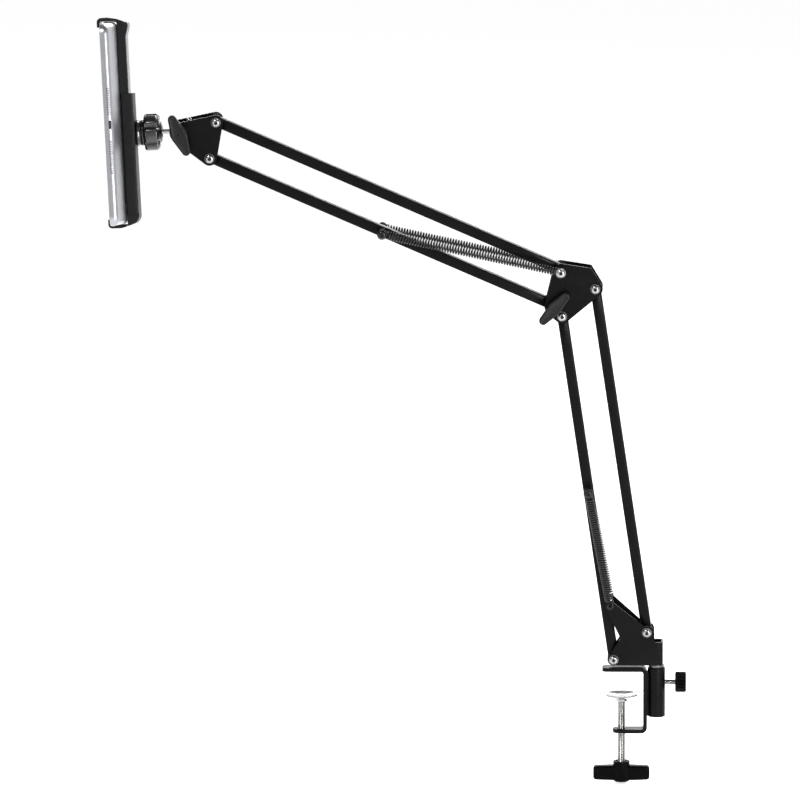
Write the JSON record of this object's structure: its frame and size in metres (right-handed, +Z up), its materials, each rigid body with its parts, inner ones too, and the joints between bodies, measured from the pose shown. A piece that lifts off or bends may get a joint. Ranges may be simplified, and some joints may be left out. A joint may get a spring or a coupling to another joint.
{
  "type": "tablet prompter arm",
  "caption": "Spring-balanced scissor arm on a desk clamp, with a ball-jointed holder that carries a tablet as a prompter screen.",
  "frame": {"origin": "on the clamp screw's axis, on the underside of the clamp's top jaw", "axes": "+Z up, the arm folds in the XZ plane and reaches towards -X, and -Y is the side with the bolt heads and wing knobs"},
  "size_m": [0.5895, 0.3083, 0.7917],
  "materials": {
    "black_paint": "semi-gloss powder coat",
    "black_plastic": "finely textured moulding",
    "gloss_plastic": "polished moulding",
    "chrome": "bright plating",
    "dark_steel": "dull plated steel",
    "spring_steel": "blackened wire",
    "rubber": "soft matt",
    "aluminium": "bead-blasted and anodised",
    "black_glass": "polished, black behind",
    "display": "dark panel",
    "battery": "foil pouch",
    "board": "green laminate"
  },
  "bodies": {
    "clamp": {"clamp_bracket": "black_paint", "socket_tube": "black_paint"},
    "pressure_pad": {"pressure_disc": "chrome"},
    "screw": {"clamp_screw": "chrome", "clamp_handle": "black_plastic"},
    "thumbscrew": {"thumbscrew_shank": "dark_steel", "thumbscrew_knob": "black_plastic"},
    "base": {"base_bracket": "black_paint", "base_pin": "dark_steel", "base_bolt_left": "chrome", "base_bolt_right": "chrome"},
    "lower_left_bar": {"lower_left_tube": "black_paint", "lower_spring_stud": "dark_steel", "lower_spring_front": "spring_steel", "lower_spring_rear": "spring_steel"},
    "lower_right_bar": {"lower_right_tube": "black_paint"},
    "elbow": {"elbow_plate_front": "black_paint", "elbow_plate_rear": "black_paint", "elbow_bolt_left": "chrome", "elbow_bolt_right": "chrome", "elbow_anchor_bolt": "chrome", "elbow_clamp_bolt": "dark_steel"},
    "elbow_wing_knob": {"elbow_knob": "black_plastic"},
    "upper_bottom_bar": {"upper_bottom_tube": "black_paint", "upper_spring_stud": "dark_steel", "upper_spring_front": "spring_steel", "upper_spring_rear": "spring_steel"},
    "upper_top_bar": {"upper_top_tube": "black_paint"},
    "head": {"head_plate_front": "black_paint", "head_plate_rear": "black_paint", "head_bolt_top": "chrome", "head_bolt_bottom": "chrome", "head_clamp_bolt": "dark_steel"},
    "head_wing_knob": {"head_knob": "black_plastic"},
    "tilt": {"tilt_block": "black_paint", "tilt_block_screw": "chrome", "ball_stud": "chrome"},
    "cup": {"ball_cup": "black_plastic"},
    "socket": {"socket_housing": "gloss_plastic", "pivot_screw": "dark_steel"},
    "lock": {"lock_ring": "gloss_plastic"},
    "holder": {"holder_body": "black_plastic", "lower_jaw_pad": "rubber", "back_pad_front": "rubber", "back_pad_rear": "rubber", "holder_spring": "spring_steel", "tablet_shell": "aluminium", "tablet_glass": "black_glass", "tablet_display": "display", "tablet_battery": "battery", "tablet_board": "board", "charge_port": "dark_steel", "tablet_camera": "black_glass"},
    "jaw": {"upper_jaw": "gloss_plastic", "upper_jaw_pad": "rubber"},
    "power": {"power_button": "aluminium"},
    "volume": {"volume_rocker": "aluminium"}
  },
  "joints": [
    {"name": "screw_turn", "type": "hinge", "parent": "pressure_pad", "child": "screw", "pos_m": [0, 0, -0.09], "axis": [0, 0, 1], "range_deg": [-7200, 6120]},
    {"name": "pad_travel", "type": "slide", "parent": "clamp", "child": "pressure_pad", "axis": [0, 0, 1], "range_m": [-0.0251, 0.0214]},
    {"name": "thumbscrew_turn", "type": "hinge", "parent": "clamp", "child": "thumbscrew", "pos_m": [0.0537, 0, -0.0117], "axis": [1, 0, 0], "continuous": true},
    {"name": "arm_swivel", "type": "hinge", "parent": "clamp", "child": "base", "pos_m": [0.03495, 0, 0], "axis": [0, 0, 1], "continuous": true},
    {"name": "lower_fold", "type": "hinge", "parent": "base", "child": "lower_left_bar", "pos_m": [-0.0078, 0, 0.0128], "axis": [0, 1, 0], "range_deg": [-50, 25], "deforming": ["lower_spring_front", "lower_spring_rear"]},
    {"name": "lower_link", "type": "hinge", "parent": "base", "child": "lower_right_bar", "pos_m": [0.0253, 0, 0.0406], "axis": [0, 1, 0], "range_deg": [-50, 25]},
    {"name": "elbow_level", "type": "hinge", "parent": "lower_left_bar", "child": "elbow", "pos_m": [-0.0598, 0, 0.3634], "axis": [0, 1, 0], "range_deg": [-25, 50]},
    {"name": "upper_fold", "type": "hinge", "parent": "elbow", "child": "upper_bottom_bar", "pos_m": [-0.0674, 0, 0.3729], "axis": [0, 1, 0], "range_deg": [-50, 35], "deforming": ["upper_spring_front", "upper_spring_rear"]},
    {"name": "upper_link", "type": "hinge", "parent": "elbow", "child": "upper_top_bar", "pos_m": [-0.0611, 0, 0.4095], "axis": [0, 1, 0], "range_deg": [-50, 35]},
    {"name": "head_level", "type": "hinge", "parent": "upper_bottom_bar", "child": "head", "pos_m": [-0.412, 0, 0.5233], "axis": [0, 1, 0], "range_deg": [-35, 50]},
    {"name": "elbow_knob_turn", "type": "hinge", "parent": "elbow", "child": "elbow_wing_knob", "pos_m": [-0.0674, 0, 0.3729], "axis": [0, 1, 0], "continuous": true},
    {"name": "head_knob_turn", "type": "hinge", "parent": "head", "child": "head_wing_knob", "pos_m": [-0.442, 0, 0.5492], "axis": [0, 1, 0], "continuous": true},
    {"name": "head_tilt", "type": "hinge", "parent": "head", "child": "tilt", "pos_m": [-0.442, 0, 0.5492], "axis": [0, 1, 0], "range_deg": [-40, 60]},
    {"name": "ball_pitch", "type": "hinge", "parent": "tilt", "child": "cup", "pos_m": [-0.468, 0, 0.548], "axis": [0, 1, 0], "range_deg": [-14, 14]},
    {"name": "ball_yaw", "type": "hinge", "parent": "cup", "child": "socket", "pos_m": [-0.468, 0, 0.548], "axis": [-0.0628, 0, 0.998], "range_deg": [-14, 14]},
    {"name": "lock_ring_turn", "type": "hinge", "parent": "socket", "child": "lock", "pos_m": [-0.468, 0, 0.548], "axis": [0.9975, -0.0332, 0.0628], "range_deg": [-10, 180]},
    {"name": "holder_roll", "type": "hinge", "parent": "socket", "child": "holder", "pos_m": [-0.468, 0, 0.548], "axis": [0.9975, -0.0332, 0.0628], "range_deg": [-90, 90]},
    {"name": "jaw_slide", "type": "slide", "parent": "holder", "child": "jaw", "axis": [-0.0557, 0.1821, 0.9817], "range_m": [0, 0.012], "stiffness_N_per_m": 200, "springref_m": -0.03, "deforming": ["holder_spring"]},
    {"name": "power_press", "type": "slide", "parent": "holder", "child": "power", "axis": [-0.044, -0.9827, 0.1798], "range_m": [0, 0.0004], "stiffness_N_per_m": 1500, "springref_m": -0.0004},
    {"name": "volume_press", "type": "slide", "parent": "holder", "child": "volume", "axis": [0.0557, -0.1821, -0.9817], "range_m": [0, 0.0004], "stiffness_N_per_m": 1500, "springref_m": -0.0004}
  ],
  "couplings": [
    {"joint": "pad_travel", "follows": "screw_turn", "m_per_rad": 0.00019894},
    {"joint": "lower_link", "follows": "lower_fold", "ratio": 1},
    {"joint": "elbow_level", "follows": "lower_fold", "ratio": -1},
    {"joint": "upper_link", "follows": "upper_fold", "ratio": 1},
    {"joint": "head_level", "follows": "upper_fold", "ratio": -1}
  ]
}
